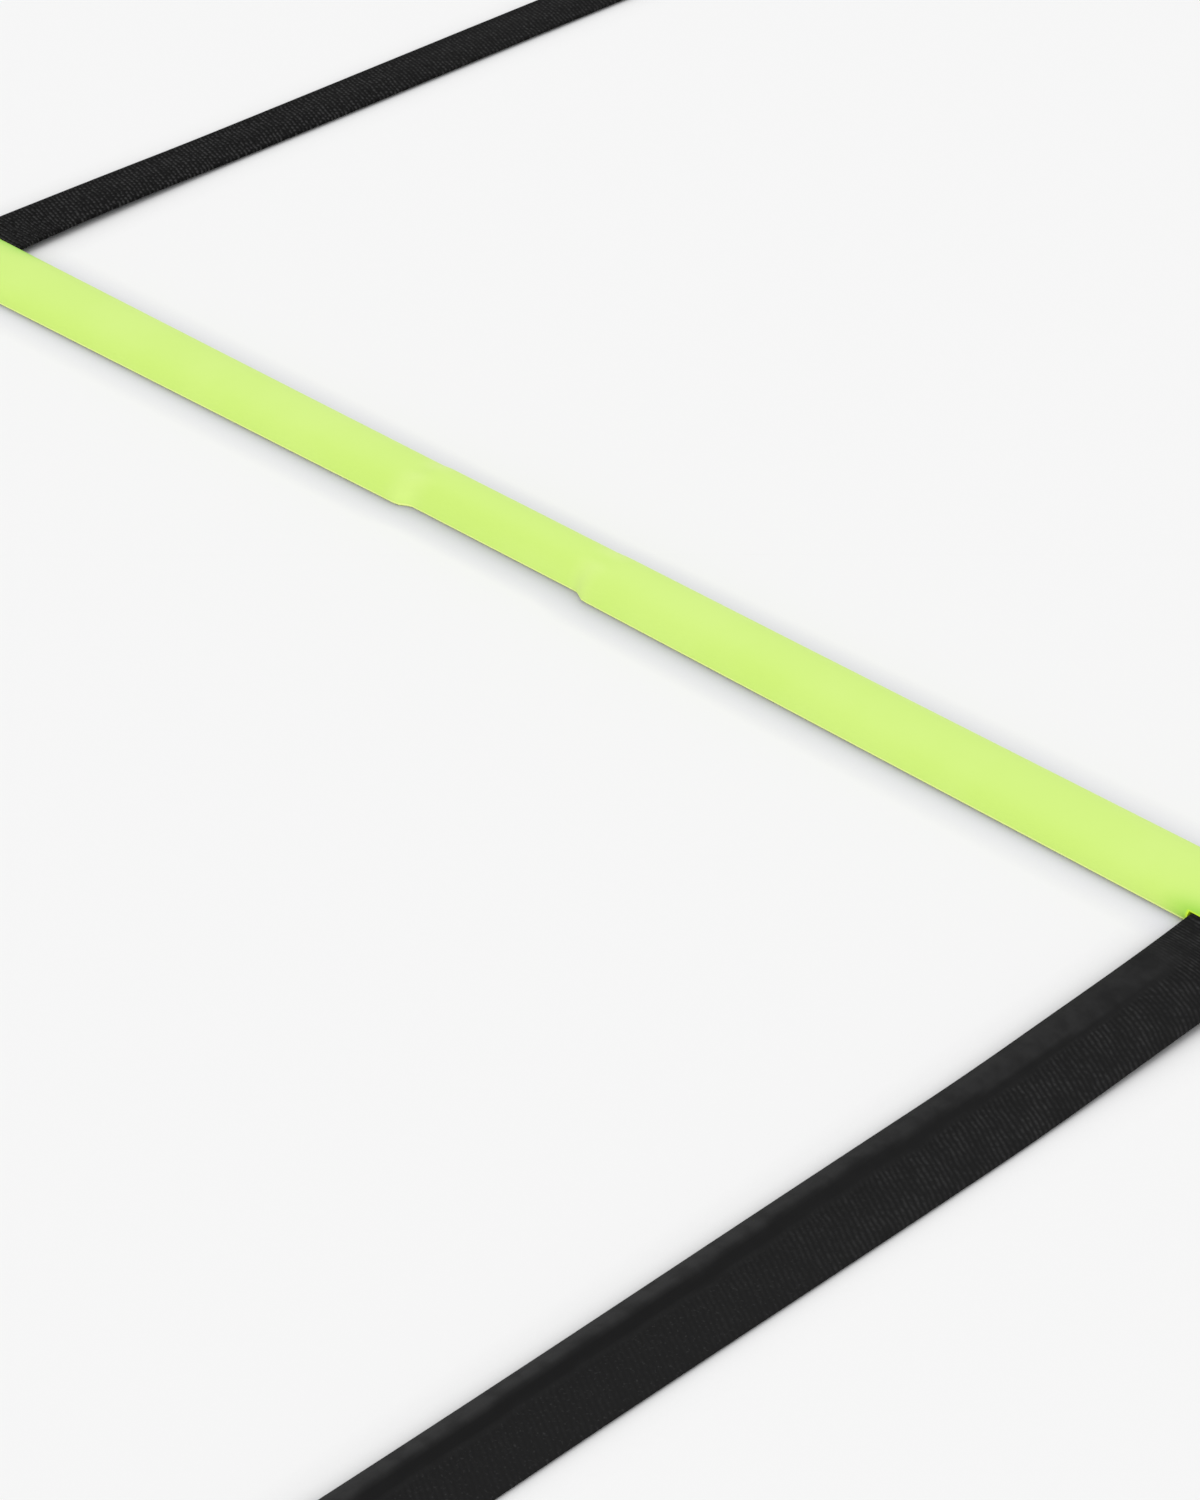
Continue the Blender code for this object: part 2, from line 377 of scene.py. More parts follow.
# marks are found by place, because the slots' Boolean drops the mesh's attributes
def makePlastic():
    material, board = newMaterial("rungPlastic")
    place = board.wire(board.node("ShaderNodeTexCoord"), "Object")
    x, y, z = board.parts(place)
    aside = board.abs(y - board.math("ROUND", y / rungPitch) * rungPitch)

    # painted shade on the thin plastic over a slot, painted light inside the slot, and a painted highlight
    # along the lower edge
    fromSlot = board.abs(board.abs(x) - slotPlace) - rung["slotWidth"] / 2
    slotTop = rung["slotFloor"] + rung["slotHeight"]
    overSlot = board.run(fromSlot, plastic["slotShadeReach"], -plastic["slotShadeInside"])
    # painted shade: darker, more saturated green on the thin plastic over a slot, where the black webbing
    # runs under it
    paintedSlotShade = overSlot * board.run(z, slotTop + plastic["slotShadeDepth"], slotTop) * plastic["slotShadeAmount"]
    # painted light: the inside walls of a slot are brighter, as if lit
    level = board.run(z, rung["slotFloor"] / 2, rung["slotFloor"]) \
        * board.run(z, slotTop + plastic["slotLightTop"], slotTop)
    paintedSlotLight = level * board.run(fromSlot, plastic["slotLightReach"], 0.0)
    # painted highlight: a pale band low on the rung's side, faded out on the flat foot
    paintedEdgeHighlight = board.run(z, plastic["edgeHighlightHeight"], plastic["edgeHighlightHeight"] - plastic["edgeHighlightFade"]) \
        * board.run(z, *plastic["edgeHighlightFoot"])

    # pale patches: clouds, and one at each end of the panel
    shoulderPlace = (rung["panelLength"] + rung["shoulder"]) / 2
    fromShoulder = board.abs(board.abs(x - rung["panelShift"]) - shoulderPlace)
    patch = board.run(fromShoulder, plastic["patchReach"], 0.0) * board.run(aside, 0.0, plastic["patchSide"])
    cloud = board.noise(place, *plastic["cloudNoise"])
    patches = board.high(board.run(cloud, *plastic["cloudRange"]) * plastic["cloudAmount"], patch)
    color = mixColor(board, patches, plastic["color"], plastic["paleColor"])
    # painted shade over the slots, a painted highlight on the lower edge and painted light inside the slots
    color = mixColor(board, paintedSlotShade, color, plastic["slotShadeColor"])
    color = mixColor(board, paintedEdgeHighlight, color, plastic["edgeHighlightColor"])
    color = mixColor(board, paintedSlotLight, color, plastic["slotLightColor"])

    grain = board.noise(place, *plastic["grainNoise"])
    wave = board.noise(place, *plastic["waveNoise"])
    bump = addBump(board, grain * plastic["grainHeight"] + wave * plastic["waveHeight"])
    roughness = plastic["roughness"] + (cloud - 0.5) * plastic["roughnessChange"]
    finishMaterial(board, {
        "Base Color": color, "Roughness": roughness, "IOR": plastic["ior"], "Normal": bump})
    return material


def makeRungs(material):
    sizes = {
        "Length": rungSize.x, "End Width": rung["endWidth"], "End Height": rung["endHeight"],
        "End Round": rung["endRound"], "End Width Share": rung["endWidthShare"],
        "End Height Share": rung["endHeightShare"], "Waist Width": rung["waistWidth"],
        "Waist Left": rung["waistHeightLeft"], "Waist Right": rung["waistHeightRight"],
        "Panel Width": rung["panelWidth"], "Panel Height": rung["panelHeight"],
        "Panel Length": rung["panelLength"], "Panel Shift": rung["panelShift"],
        "Panel Lean": rung["panelLean"], "Shoulder": rung["shoulder"],
        "Foot Radius": rung["footRadius"], "Crown Power": rung["crownPower"],
        "Slot Floor": rung["slotFloor"], "Slot Height": rung["slotHeight"], "Slot Width": rung["slotWidth"],
        "Slot Place": slotPlace, "Overrun": rung["overrun"], "End Ring Share": rung["endRingShare"],
        "Foot Share": rung["footShare"], "Rings": rung["rings"], "Sides": rung["sides"], "Material": material,
    }
    pattern = rungForm().make("rung_moulding_pattern", sizes)
    pattern.data.set_sharp_from_angle(angle=math.radians(rung["sharpAngle"]))
    for number in numbers:
        mesh = pattern.data.copy()
        mesh.transform(Matrix.Translation((0, rungPlaces[number], 0)))
        piece = bpy.data.objects.new("rung_moulding_" + number, mesh)
        bpy.context.scene.collection.objects.link(piece)
        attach(piece, "rung_" + number)
        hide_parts("rung_" + number)
    bpy.data.objects.remove(pattern, do_unlink=True)
    print("rungs:", len(numbers), "of", len(mesh.polygons), "faces")


makeRungs(makePlastic())


# woven webbing of the side straps: ribs that fan out from the rungs, and a smooth band on the rolled edge,
# lighter as a painted highlight.
# A noise is its scale and detail, a range or reach is where a change starts and ends
webbing = {
    "color": (0.0040, 0.0040, 0.0041, 1), "ribColor": (0.0350, 0.0350, 0.0354, 1),
    "bandHighlightColor": (0.0340, 0.0340, 0.0344, 1), "paintedShadeColor": (0.0100, 0.0100, 0.0102, 1),
    "ribPitch": 0.00122, "ribHeight": 0.00009, "yarnPitch": 0.00145, "yarnHeight": 0.00004,
    "fanLength": 0.017, "slantCurve": 28, "straightenReach": (0.018, 0.060),
    "swayNoise": (150.0, 2.0), "swayTurns": 1.2, "meanShade": 0.28, "farReach": (0.070, 0.165),
    # beside a rung and far from it
    "slantRight": (38, 28), "contrastLeft": (2.10, 0.85), "contrastRight": (0.50, 0.11),
    "liftRight": (0.050, 0.010), "creaseShadeAmount": (0.82, 0.95),
    # left strap and right strap
    "dots": (0.60, 0.22), "wornLow": (0.20, 0.32), "blotchLow": (0.75, 0.50), "blotchHigh": (1.15, 1.25),
    # left strap alone
    "slantLeft": 18.5, "liftLeft": -0.05, "selvedgeReach": (0.0010, 0.0026), "selvedgeContrast": 0.25,
    # both straps: stronger weave at a slot, wear, speckles, nap of the smooth band, and painted shade in
    # dents, the crease and wrinkles
    "slotReach": (0.008, 0.022), "slotContrast": 1.6,
    "wornNoise": (800.0, 2.0), "wornRange": (0.34, 0.66), "wornHigh": 1.15,
    "blotchNoise": (170.0, 2.0), "blotchRange": (0.35, 0.65),
    "speckleNoise": (1500.0, 1.0), "speckleRange": (0.58, 0.80), "speckleAmount": 0.5,
    "napNoise": (230.0, 3.0), "napRange": (0.30, 0.62), "napLow": 0.50, "napHigh": 0.74,
    "napReach": (0.008, 0.050), "napAtSlot": 0.76, "napFarGain": 0.40,
    "dentNoise": (140.0, 3.0), "dentRange": (0.44, 0.62), "dentReach": (0.060, 0.020), "dentShadeAmount": 0.45,
    "creaseShadeReach": (0.010, 0.050), "creaseShadeAtSlot": 0.60,
    "wrinklePitch": 0.0040, "wrinkleNoise": (260.0, 1.0), "wrinkleReach": (0.0135, 0.004),
    "wrinkleStart": -0.2, "wrinkleShadeAmount": 0.75, "wrinkleDepth": 0.00018,
    "fuzzNoise": (900.0, 3.0), "fuzzHeight": 0.00003, "bump": 0.8,
    "roughness": 0.85, "roughnessChange": 0.1, "specular": 0.05,
}


def makeWebbing():
    material, board = newMaterial("strapWebbing")
    weave = board.wire(board.node("ShaderNodeAttribute", {"attribute_name": "weave"}), "Vector")
    across, along, mouth = board.parts(weave)
    looks = board.wire(board.node("ShaderNodeAttribute", {"attribute_name": "looks"}), "Vector")
    band, creaseShade, side = board.parts(looks)
    cloth = board.vector(across, along, 0.0)

    # ribs: square to the edges at a slot, then slanted and curved
    nearTilt, farTilt = [math.tan(math.radians(angle)) for angle in webbing["slantRight"]]
    leftTilt = math.tan(math.radians(webbing["slantLeft"]))
    right = board.run(side, -1.0, 1.0, 0.0, 1.0, "LINEAR")
    fan = board.run(mouth, 0.0, webbing["fanLength"])
    straight = board.run(mouth, *webbing["straightenReach"])
    bent = across * (1 - right * across * webbing["slantCurve"] * (1 - straight))
    tilt = leftTilt - right * (leftTilt + between(nearTilt, farTilt, straight))
    slanted = bent * tilt * fan
    sway = board.noise(cloth, *webbing["swayNoise"])
    phase = (along + slanted) / webbing["ribPitch"] + sway * webbing["swayTurns"]
    rib = board.cos(phase * turn) * 0.5 + 0.5

    # yarns cross each second rib half a step over
    turned = board.math("ROUND", phase) * 0.5
    yarn = board.cos((across / webbing["yarnPitch"] + turned) * turn) * 0.5 + 0.5
    dots = between(*webbing["dots"], right)
    worn = board.run(board.noise(cloth, *webbing["wornNoise"]), *webbing["wornRange"],
                     between(*webbing["wornLow"], right), webbing["wornHigh"])
    blotch = board.run(board.noise(cloth, *webbing["blotchNoise"]), *webbing["blotchRange"],
                       between(*webbing["blotchLow"], right), between(*webbing["blotchHigh"], right))
    shade = rib * (1 - dots + dots * yarn) * worn * blotch

    # the weave shows most beside the rungs, and least on the left strap's outer edge
    far = board.run(mouth, *webbing["farReach"])
    contrast = between(between(*webbing["contrastLeft"], far), between(*webbing["contrastRight"], far), right)
    selvedge = board.run(across, *webbing["selvedgeReach"], webbing["selvedgeContrast"], 1.0)
    atSlot = board.run(mouth, *webbing["slotReach"], webbing["slotContrast"], 1.0)
    contrast = contrast * board.high(selvedge, right) * atSlot
    lift = between(webbing["liftLeft"], between(*webbing["liftRight"], far), right)
    shade = between(webbing["meanShade"], shade, contrast) + lift
    speckle = board.run(board.noise(cloth, *webbing["speckleNoise"]), *webbing["speckleRange"])
    speckle = speckle * webbing["speckleAmount"] * far
    color = mixColor(board, shade + speckle, webbing["color"], webbing["ribColor"])

    # smooth band with a mottled nap: its unribbed weave is the webbing's own, its lighter colour is a painted
    # highlight on the raised rolled edge
    nap = board.run(board.noise(cloth, *webbing["napNoise"]), *webbing["napRange"],
                    webbing["napLow"], webbing["napHigh"])
    nap = nap * board.run(mouth, *webbing["napReach"], webbing["napAtSlot"], 1.0)
    nap = nap * (1 + far * webbing["napFarGain"])
    smooth = mixColor(board, nap, webbing["color"], webbing["bandHighlightColor"])
    color = mixColor(board, band, color, smooth)

    # painted shade: in dents on the band near a slot, in the crease beside the band, and in wrinkles where
    # the webbing bends out of a slot
    dentShade = board.run(board.noise(cloth, *webbing["dentNoise"]), *webbing["dentRange"])
    dentShade = dentShade * board.run(mouth, *webbing["dentReach"]) * band
    # painted shade: dark spots for dents in the band, with no relief of their own
    color = mixColor(board, dentShade * webbing["dentShadeAmount"], color, webbing["paintedShadeColor"])
    # painted shade in the valley between the rolled band and the flat webbing
    creaseShade = creaseShade * board.run(mouth, *webbing["creaseShadeReach"], webbing["creaseShadeAtSlot"], 1.0)
    creaseShade = creaseShade * between(*webbing["creaseShadeAmount"], far)
    color = mixColor(board, creaseShade, color, webbing["paintedShadeColor"])
    folds = (mouth + slanted) / webbing["wrinklePitch"] + board.noise(cloth, *webbing["wrinkleNoise"])
    wrinkle = board.run(board.cos(folds * turn), webbing["wrinkleStart"], 1.0)
    wrinkle = wrinkle * board.run(mouth, *webbing["wrinkleReach"])
    # painted shade in the wrinkles; the bump below gives them relief as well
    color = mixColor(board, wrinkle * webbing["wrinkleShadeAmount"], color, webbing["paintedShadeColor"])

    fuzz = board.noise(board.vector(across, along, mouth), *webbing["fuzzNoise"])
    relief = rib * (webbing["ribHeight"] + yarn * webbing["yarnHeight"]) * contrast * (1 - band)
    height = relief + fuzz * webbing["fuzzHeight"] - wrinkle * webbing["wrinkleDepth"]
    finishMaterial(board, {
        "Base Color": color, "Roughness": webbing["roughness"] - fuzz * webbing["roughnessChange"],
        "Normal": addBump(board, height, webbing["bump"]), "Specular IOR Level": webbing["specular"]})
    return material


# side straps: straight through the slots, flat on the floor between them, inner edge rolled up.
# narrowing and shift are most in the middle of a bay; creaseShare is measured from the outer edge
strap = {
    "left": {"width": 0.0158, "narrowing": 0.0000, "shift": -0.0004, "rollHeight": 0.0006,
             "smoothBand": 0.0, "creaseShare": 0.10},
    "right": {"width": 0.0206, "narrowing": 0.0016, "shift": 0.0010, "rollHeight": 0.0018,
              "smoothBand": 1.0, "creaseShare": 0.62},
    "thickness": 0.0009, "slotWidth": 0.0225, "slotInset": 0.0008, "spreadLength": 0.072,
    "farSpread": 0.0013, "farSpreadLength": 0.060, "spreadPower": 3.0, "narrowPower": 3.0,
    "lift": 0.0012, "rampStart": 0.003, "rampLength": 0.078,
    "rollStart": 0.002, "rollLength": 0.050, "rollFade": 0.040, "rollTopShare": 0.58, "rollDrop": 0.5,
    "outerCrown": 0.00020, "creaseSway": 0.03, "creaseWaver": 0.15,
    "swayNoise": (38.0, 2.0), "waverNoise": (75.0, 2.0), "noiseGap": 3.0,
    # smooth band: where it comes, goes and takes its far look, in a bay from 0 at one rung to 1 at the next
    "bandIn": (0.22, 0.48), "bandOut": (0.975, 0.925), "bandFar": (0.88, 0.72),
    # band and painted crease shade: shares of the width from the inner edge, beside the rung and far from it
    "bandEdge": (0.30, 0.13), "creaseMiddle": (0.355, 0.275), "creaseHalf": (0.065, 0.125),
    "creaseCore": 0.25, "bandSoft": (0.03, 0.05),
    "hemLength": 0.028, "layerGap": 0.00003, "foldReach": 0.004, "foldRings": 24,
    "noTurn": 9.0,  # a turn place out of reach, for pieces with no hem
    "step": 0.0018, "sides": 60, "flatShare": 0.86, "sharpAngle": 50,
}


def strapForm():
    lengths = ["Side", "Start", "End", "Pitch", "Mouth", "Outer", "Width", "Narrowing", "Narrow Power",
               "Shift", "Slot Width", "Slot Inset", "Spread Length", "Far Spread", "Far Spread Length",
               "Spread Power", "Thickness", "Lift", "Ramp Start", "Ramp Length", "Roll Height", "Roll Start",
               "Roll Length", "Roll Fade", "Roll Top Share", "Roll Drop", "Outer Crown", "Smooth Band",
               "Band Near", "Band Far", "Band Edge Near", "Band Edge Far", "Crease Near", "Crease Far",
               "Crease Half Near", "Crease Half Far", "Crease Share", "Crease Sway", "Crease Waver",
               "Hem Start", "Turn Place", "Layer Gap", "End Sign", "Flat Share"]
    sizes = {name: "NodeSocketFloat" for name in lengths}
    sizes.update({"Rings": "NodeSocketInt", "Sides": "NodeSocketInt", "Material": "NodeSocketMaterial"})
    form = Form("strapForm", sizes)
    board, size = form.board, form.size
    tube = board.node("GeometryNodeMeshCylinder", {"fill_type": "NGON"}, {
        "Vertices": size("Sides"), "Side Segments": size("Rings"), "Radius": 1.0, "Depth": 1.0})
    cosine, sine, along = board.parts(board.wire(board.node("GeometryNodeInputPosition")))

    # place along the webbing, and the same place on the ladder once a hem has turned back
    place = (size("Start") + size("End")) / 2 - size("Side") * along * (size("End") - size("Start"))
    outward = place * size("End Sign")
    bend = size("Thickness") / 2 + size("Layer Gap")
    swing = board.low(board.high((outward - size("Turn Place")) / bend, 0.0), math.pi)
    back = board.high(outward - size("Turn Place") - bend * math.pi, 0.0)
    reached = board.low(outward, size("Turn Place")) + bend * board.sin(swing) - back
    y = reached * size("End Sign")
    layer = bend * (1 - board.cos(swing))

    # signed distance from the nearest rung, and how far past its mouth
    near = (y / size("Pitch") - board.math("ROUND", y / size("Pitch"))) * size("Pitch")
    past = board.abs(near) - size("Mouth")
    beforeRung = board.run(0.0 - near - size("Mouth"), 0.0, size("Spread Length"), 0.0, 1.0, "LINEAR")
    afterRung = board.run(near - size("Mouth"), 0.0, size("Far Spread Length"), 0.0, 1.0, "LINEAR")
    through = board.run(near, 0.0 - size("Mouth"), size("Mouth"), 0.0, 1.0, "LINEAR")
    midBay = ((1 - board.cos(near / size("Pitch") * turn)) / 2) ** size("Narrow Power")
    nearExtra = (size("Slot Width") - size("Width")) * (1 - beforeRung) ** size("Spread Power")
    farExtra = size("Far Spread") * (1 - afterRung) ** size("Spread Power")
    breadth = size("Width") - size("Narrowing") * midBay + between(nearExtra, farExtra, through)
    lift = size("Lift") * (1 - board.run(past - size("Ramp Start"), 0.0, size("Ramp Length")))
    inset = size("Slot Inset") * lift / size("Lift") + size("Shift") * midBay
    free = board.run(size("Hem Start") - outward, 0.0, size("Roll Fade"))
    roll = size("Roll Height") * free * board.run(past - size("Roll Start"), 0.0, size("Roll Length"))

    # across the webbing: two flat faces and round edges
    half = size("Thickness") / 2
    around = board.math("ARCTAN2", board.abs(cosine), board.abs(sine)) / (math.pi / 2)
    edgeTurn = board.run(around, size("Flat Share"), 1.0, 0.0, math.pi / 2, "LINEAR")
    flat = board.run(around, 0.0, size("Flat Share"), 0.0, 1.0, "LINEAR")
    out = (breadth / 2 - half) * flat + half * board.sin(edgeTurn)
    across = breadth / 2 - board.math("SIGN", cosine) * out
    up = board.math("SIGN", sine) * half * board.cos(edgeTurn)

    # the crease wanders, the strip outside it is a little crowned, and the inner strip rolls up
    wander = board.noise(board.vector(size("Side") * strap["noiseGap"], y, 0.0), *strap["swayNoise"]) - 0.5
    share = across / breadth
    creaseShare = size("Crease Share") + wander * size("Crease Sway") * 2.0
    pastCrease = (share - creaseShare) / (1 - creaseShare)
    rolled = board.run(pastCrease, 0.0, size("Roll Top Share")) \
        - size("Roll Drop") * board.run(pastCrease, size("Roll Top Share"), 1.0)
    crown = board.sin(board.run(share, 0.0, creaseShare, 0.0, math.pi, "LINEAR"))
    crown = size("Outer Crown") * crown * free * board.run(past, 0.0, size("Roll Length"))
    rise = lift + roll * rolled + crown
    x = size("Side") * (size("Outer") - inset - across)
    z = half + rise + layer + up * board.cos(swing)
    y = y - up * board.sin(swing) * size("End Sign")

    # what the weave follows: across, along, distance from the mouth; smooth band, painted crease shade, side
    bay = y / size("Pitch") - board.math("FLOOR", y / size("Pitch"))
    distant = board.run(bay, size("Band Near"), size("Band Far"))
    present = board.run(bay, *strap["bandIn"]) * board.run(bay, *strap["bandOut"])
    present = present * free * size("Smooth Band")
    waver = board.noise(board.vector(size("Side") * strap["noiseGap"], y, 0.0), *strap["waverNoise"]) - 0.5
    inner = 1 - share + waver * size("Crease Waver")
    bandEdge = between(size("Band Edge Near"), size("Band Edge Far"), distant)
    creaseMiddle = between(size("Crease Near"), size("Crease Far"), distant)
    creaseHalf = between(size("Crease Half Near"), size("Crease Half Far"), distant)
    band = present * board.run(inner, creaseMiddle + creaseHalf, creaseMiddle)
    creaseShade = board.run(board.abs(inner - creaseMiddle), creaseHalf, creaseHalf * strap["creaseCore"])
    onBand = board.run(inner, bandEdge - strap["bandSoft"][0], bandEdge + strap["bandSoft"][1])
    creaseShade = present * creaseShade * onBand
    marks = {"weave": board.vector(across, place, past), "looks": board.vector(band, creaseShade, size("Side"))}
    woven = board.wire(tube)
    kind = {"data_type": "FLOAT_VECTOR", "domain": "POINT"}
    for name, value in marks.items():
        values = {"Geometry": woven, "Name": name, "Value": value}
        woven = board.wire(board.node("GeometryNodeStoreNamedAttribute", kind, values))
    form.end(board.wire(board.node("GeometryNodeSetPosition", {}, {
        "Geometry": woven, "Position": board.vector(x, y, z)})))
    return form


def makeStraps(material):
    form = strapForm()
    shared = {
        "Pitch": rungPitch, "Mouth": rung["endWidth"] / 2, "Outer": strapOuter,
        "Thickness": strap["thickness"], "Narrow Power": strap["narrowPower"],
        "Slot Width": strap["slotWidth"], "Slot Inset": strap["slotInset"],
        "Spread Length": strap["spreadLength"], "Far Spread": strap["farSpread"],
        "Far Spread Length": strap["farSpreadLength"], "Spread Power": strap["spreadPower"],
        "Lift": strap["lift"], "Ramp Start": strap["rampStart"], "Ramp Length": strap["rampLength"],
        "Roll Start": strap["rollStart"], "Roll Length": strap["rollLength"], "Roll Fade": strap["rollFade"],
        "Roll Top Share": strap["rollTopShare"], "Roll Drop": strap["rollDrop"],
        "Outer Crown": strap["outerCrown"],
        "Band Near": strap["bandFar"][0], "Band Far": strap["bandFar"][1],
        "Band Edge Near": strap["bandEdge"][0], "Band Edge Far": strap["bandEdge"][1],
        "Crease Near": strap["creaseMiddle"][0], "Crease Far": strap["creaseMiddle"][1],
        "Crease Half Near": strap["creaseHalf"][0], "Crease Half Far": strap["creaseHalf"][1],
        "Crease Sway": strap["creaseSway"], "Crease Waver": strap["creaseWaver"],
        "Layer Gap": strap["layerGap"], "Flat Share": strap["flatShare"], "Sides": strap["sides"],
        "Material": material,
    }
    half = rungPitch / 2
    reach = strap["foldReach"]
    bend = strap["thickness"] / 2 + strap["layerGap"]
    ladderEnd = cadBox[1][1]
    turnPlace = ladderEnd - bend - strap["thickness"] / 2
    hemTop = turnPlace + bend * math.pi + strap["hemLength"] - bend
    faces = 0
    for sideName, side in (("left", -1.0), ("right", 1.0)):
        tuck = strap[sideName]
        ownSide = {
            "Side": side, "Width": tuck["width"], "Narrowing": tuck["narrowing"], "Shift": tuck["shift"],
            "Roll Height": tuck["rollHeight"], "Smooth Band": tuck["smoothBand"],
            "Crease Share": tuck["creaseShare"]}
        for index, number in enumerate(numbers):
            place = rungPlaces[number]
            for part, sign in (("near", -1.0), ("far", 1.0)):
                atEnd = index == (0 if sign < 0 else len(numbers) - 1)
                outerPlace = sign * hemTop if atEnd else place + sign * (half - reach)
                start, end = sorted((place, outerPlace))
                values = {**shared, **ownSide}
                values.update({
                    "Start": start, "End": end, "End Sign": sign if atEnd else 1.0,
                    "Turn Place": turnPlace if atEnd else strap["noTurn"],
                    "Hem Start": ladderEnd - strap["hemLength"] if atEnd else strap["noTurn"],
                    "Rings": round((end - start) / strap["step"])})
                piece = form.make(f"webbing_{sideName}_{number}_{part}", values)
                piece.data.set_sharp_from_angle(angle=math.radians(strap["sharpAngle"]))
                "section_" + number
                "rung_" + number
                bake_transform(piece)
                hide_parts(f"strap_{sideName}_{number}")
                faces += len(piece.data.polygons)
        for number, following in zip(numbers, numbers[1:]):
            fold = (rungPlaces[number] + rungPlaces[following]) / 2
            values = {**shared, **ownSide}
            values.update({
                "Start": fold - reach, "End": fold + reach, "End Sign": 1.0, "Turn Place": strap["noTurn"],
                "Hem Start": strap["noTurn"], "Rings": strap["foldRings"]})
            piece = form.make(f"webbing_{sideName}_fold_{number}", values)
            piece.data.set_sharp_from_angle(angle=math.radians(strap["sharpAngle"]))
            "section_" + number
            "section_" + following
            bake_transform(piece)
            faces += len(piece.data.polygons)
    print("straps:", faces, "faces")


makeStraps(makeWebbing())


# a box of stitches with a cross in it on each hem
stitch = {
    "length": 0.0190, "margin": 0.0030, "endMargin": 0.0045, "pitch": 0.0028, "reach": 0.0023,
    "thread": 0.00055, "sink": 0.00014, "segments": 8, "rings": 6,
    "color": (0.012, 0.012, 0.0125, 1), "paleColor": (0.055, 0.055, 0.057, 1),
    "twistPitch": 0.0005, "twistHeight": 0.0001, "bump": 0.5, "fluffNoise": (3000.0, 2.0),
    "roughness": 0.6, "roughnessChange": 0.1,
}


def makeThread():
    material, board = newMaterial("sewingThread")
    place = board.wire(board.node("ShaderNodeTexCoord"), "Object")
    x, y, z = board.parts(place)
    twist = board.cos((x + y + z) / stitch["twistPitch"] * turn) * 0.5 + 0.5
    fluff = board.noise(place, *stitch["fluffNoise"])
    color = mixColor(board, twist * fluff, stitch["color"], stitch["paleColor"])
    finishMaterial(board, {
        "Base Color": color, "Roughness": stitch["roughness"] + fluff * stitch["roughnessChange"],
        "Normal": addBump(board, twist, stitch["bump"], stitch["twistHeight"])})
    return material


def stitchForm():
    lengths = ["Place X", "Place Y", "Place Z", "Width", "Length", "Pitch", "Reach", "Thread"]
    sizes = {name: "NodeSocketFloat" for name in lengths}
    sizes.update({"Segments": "NodeSocketInt", "Rings": "NodeSocketInt", "Material": "NodeSocketMaterial"})
    form = Form("stitchForm", sizes)
    board, size = form.board, form.size
    box = board.wire(board.node("GeometryNodeCurvePrimitiveQuadrilateral", {}, {
        "Width": size("Width"), "Height": size("Length")}))
    lines = [box]
    for way in (-1.0, 1.0):
        start = board.vector(size("Width") / -2.0 * way, size("Length") / -2.0, 0.0)
        end = board.vector(size("Width") / 2.0 * way, size("Length") / 2.0, 0.0)
        line = board.node("GeometryNodeCurvePrimitiveLine", {}, {"Start": start, "End": end})
        lines.append(board.wire(line))
    joined = board.node("GeometryNodeJoinGeometry")
    for line in lines:
        board.tree.links.new(line.socket, joined.inputs[0])
    points = board.node("GeometryNodeCurveToPoints", {"mode": "LENGTH"}, {
        "Curve": board.wire(joined), "Length": size("Pitch")})
    bead = board.node("GeometryNodeMeshUVSphere", {}, {
        "Segments": size("Segments"), "Rings": size("Rings"), "Radius": 0.5})
    stretched = board.node("GeometryNodeTransform", {}, {
        "Geometry": board.wire(bead), "Scale": board.vector(size("Reach"), size("Thread"), size("Thread"))})
    facing = board.node("FunctionNodeAlignRotationToVector", {"axis": "X"}, {
        "Vector": board.wire(points, "Tangent")})
    spread = board.node("GeometryNodeInstanceOnPoints", {}, {
        "Points": board.wire(points), "Instance": board.wire(stretched), "Rotation": board.wire(facing)})
    moved = board.node("GeometryNodeTransform", {}, {
        "Geometry": board.wire(spread),
        "Translation": board.vector(size("Place X"), size("Place Y"), size("Place Z"))})
    form.end(board.wire(moved))
    return form


def makeStitches(material):
    form = stitchForm()
    half = rungPitch / 2
    top = 2 * strap["thickness"] + strap["layerGap"] * 2 - stitch["sink"]
    for sideName, side in (("left", -1.0), ("right", 1.0)):
        for number, sign in ((numbers[0], -1.0), (numbers[-1], 1.0)):
            width = strap[sideName]["width"] - strap[sideName]["narrowing"]
            outer = strapOuter - strap[sideName]["shift"]
            end = rungPlaces[number] + sign * half
            values = {
                "Place X": side * (outer - width / 2), "Place Z": top,
                "Place Y": end - sign * (stitch["endMargin"] + stitch["length"] / 2),
                "Width": width - 2 * stitch["margin"], "Length": stitch["length"], "Pitch": stitch["pitch"],
                "Reach": stitch["reach"], "Thread": stitch["thread"], "Segments": stitch["segments"],
                "Rings": stitch["rings"], "Material": material}
            piece = form.make(f"hem_stitches_{sideName}_{number}", values)
            "section_" + number
            "rung_" + number
            rungPlaces[number] + sign * (half - strap["foldReach"])
            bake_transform(piece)
            print("stitches:", piece.name, len(piece.data.polygons), "faces")


makeStitches(makeThread())


# floor with a painted contact shadow, dome, a soft key from behind and a low fill from the front; a strength
# of 1 is white
studio = {
    "floorSize": 40, "floorColor": (0.925, 0.925, 0.925, 1),
    "contactShadowColor": (0.530, 0.530, 0.535, 1), "rungShadowColor": (0.485, 0.462, 0.640, 1),
    "contactReach": 0.0095, "contactSamples": 24, "contactGain": 1.6, "contactPower": 0.65,
    "rungContactReach": (0.022, 0.014), "strapReach": 0.006,
    "dome": 0.772, "keys": {
        "softKey": {"strength": 0.50, "angle": 50, "turn": 215, "tilt": 38},
        "frontFill": {"strength": 0.80, "angle": 60, "turn": 45, "tilt": 66},
    },
}


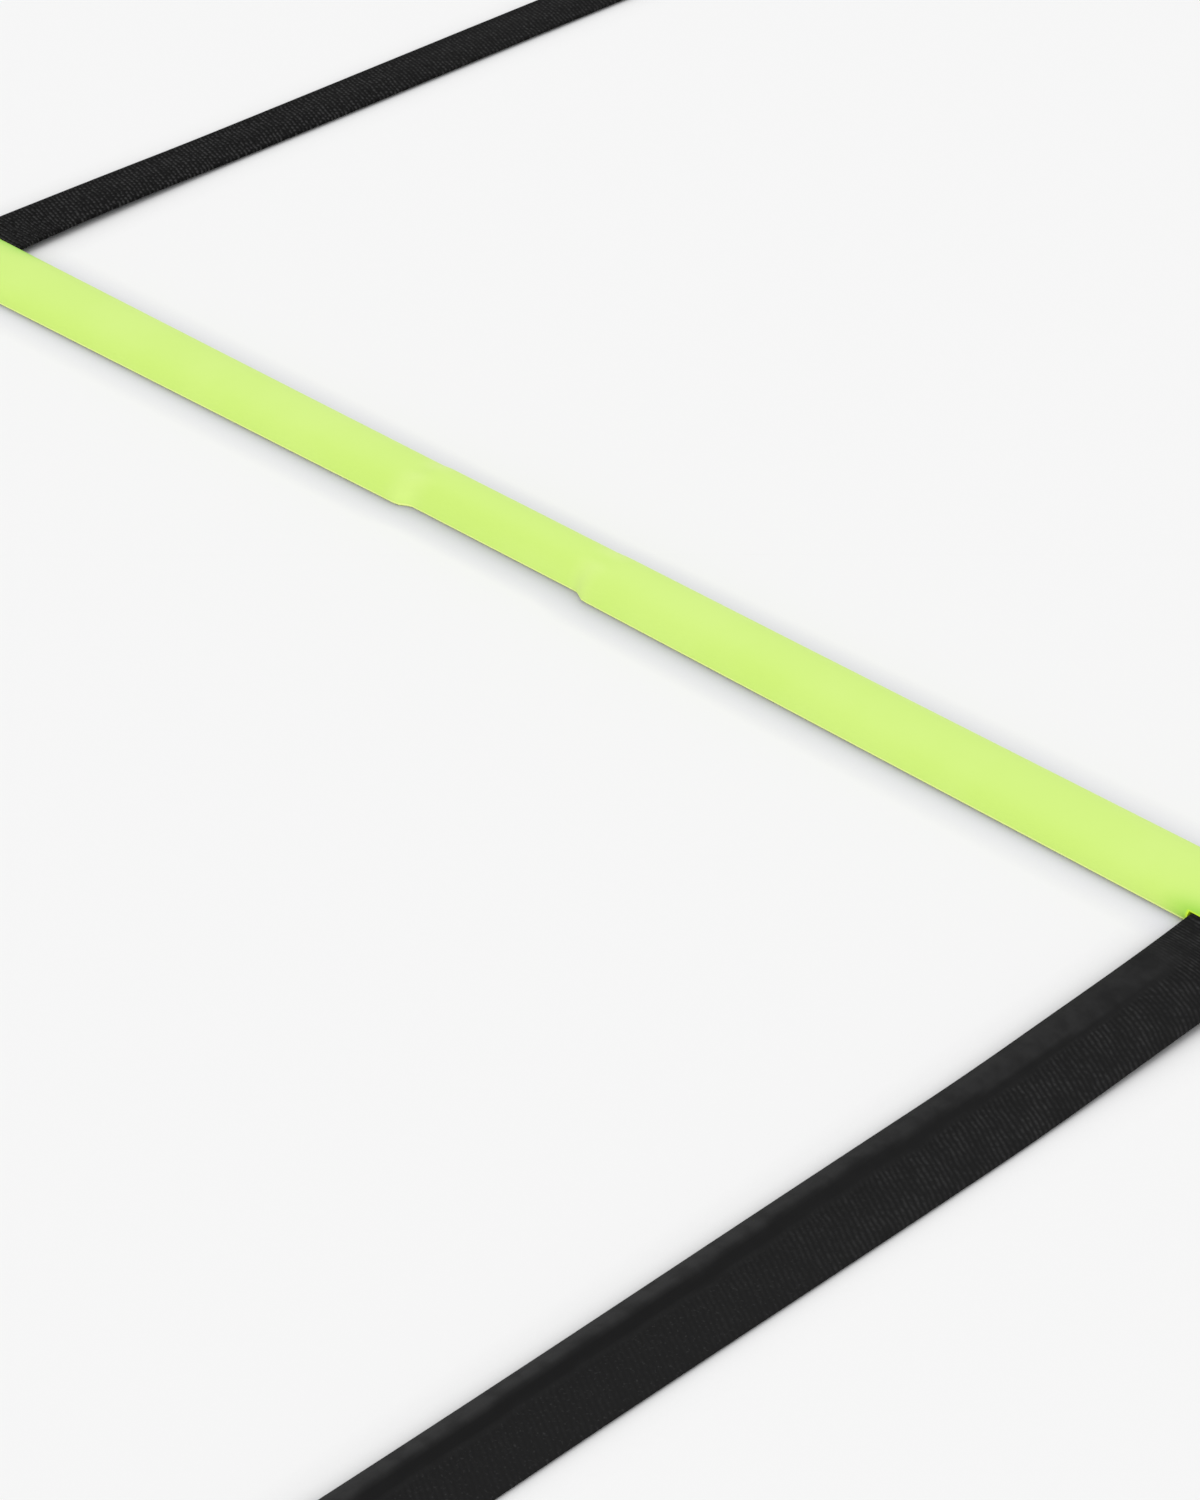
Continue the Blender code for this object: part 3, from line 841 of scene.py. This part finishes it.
def addStudio():
    bpy.ops.mesh.primitive_plane_add(size=studio["floorSize"])
    floor = bpy.context.object
    floor.name = "floor"
    material, board = newMaterial("floorPaper")
    nearby = board.node("ShaderNodeAmbientOcclusion", {"samples": studio["contactSamples"]}, {
        "Distance": studio["contactReach"]})
    path = board.node("ShaderNodeLightPath")
    # painted shadow: seen by the camera, the floor colour darkens where ambient occlusion finds the ladder
    # close by
    paintedShadow = board.low((1 - board.wire(nearby, "AO")) * studio["contactGain"], 1.0) ** studio["contactPower"]
    paintedShadow = paintedShadow * board.wire(path, "Is Camera Ray")
    x, y, z = board.parts(board.wire(board.node("ShaderNodeTexCoord"), "Object"))
    fromRung = board.abs(y - board.math("ROUND", y / rungPitch) * rungPitch)
    fromStrap = strapOuter - strap["slotWidth"] - board.abs(x)
    # beside a rung the painted shadow is tinted lavender against the green light the rung throws on the floor
    rungShadowShare = board.run(fromRung, *studio["rungContactReach"]) * board.run(fromStrap, 0.0, studio["strapReach"])
    shade = mixColor(board, rungShadowShare, studio["contactShadowColor"], studio["rungShadowColor"])
    color = mixColor(board, paintedShadow, studio["floorColor"], shade)
    shader = board.node("ShaderNodeBsdfDiffuse", {}, {"Color": color, "Roughness": 0.0})
    board.node("ShaderNodeOutputMaterial", {}, {"Surface": board.wire(shader)})
    floor.data.materials.append(material)

    world = bpy.data.worlds.new("studio")
    bpy.context.scene.world = world
    world.use_nodes = True
    board = Board(world.node_tree)
    path = board.node("ShaderNodeLightPath")
    seen = board.high(board.high(board.wire(path, "Is Camera Ray"), board.wire(path, "Is Glossy Ray")),
                      board.wire(path, "Is Transmission Ray"))
    strength = studio["dome"] + seen * (studio["floorColor"][0] - studio["dome"])
    sky = board.node("ShaderNodeBackground", {}, {"Color": (1, 1, 1, 1), "Strength": strength})
    board.node("ShaderNodeOutputWorld", {}, {"Surface": board.wire(sky)})

    for name, lamp in studio["keys"].items():
        data = bpy.data.lights.new(name, "SUN")
        data.energy = lamp["strength"]
        data.angle = math.radians(lamp["angle"])
        key = bpy.data.objects.new(name, data)
        key.rotation_euler = (math.radians(lamp["tilt"]), 0, math.radians(lamp["turn"]))
        bpy.context.scene.collection.objects.link(key)
    bpy.context.scene.view_settings.view_transform = "Standard"


addStudio()
print("studio set")
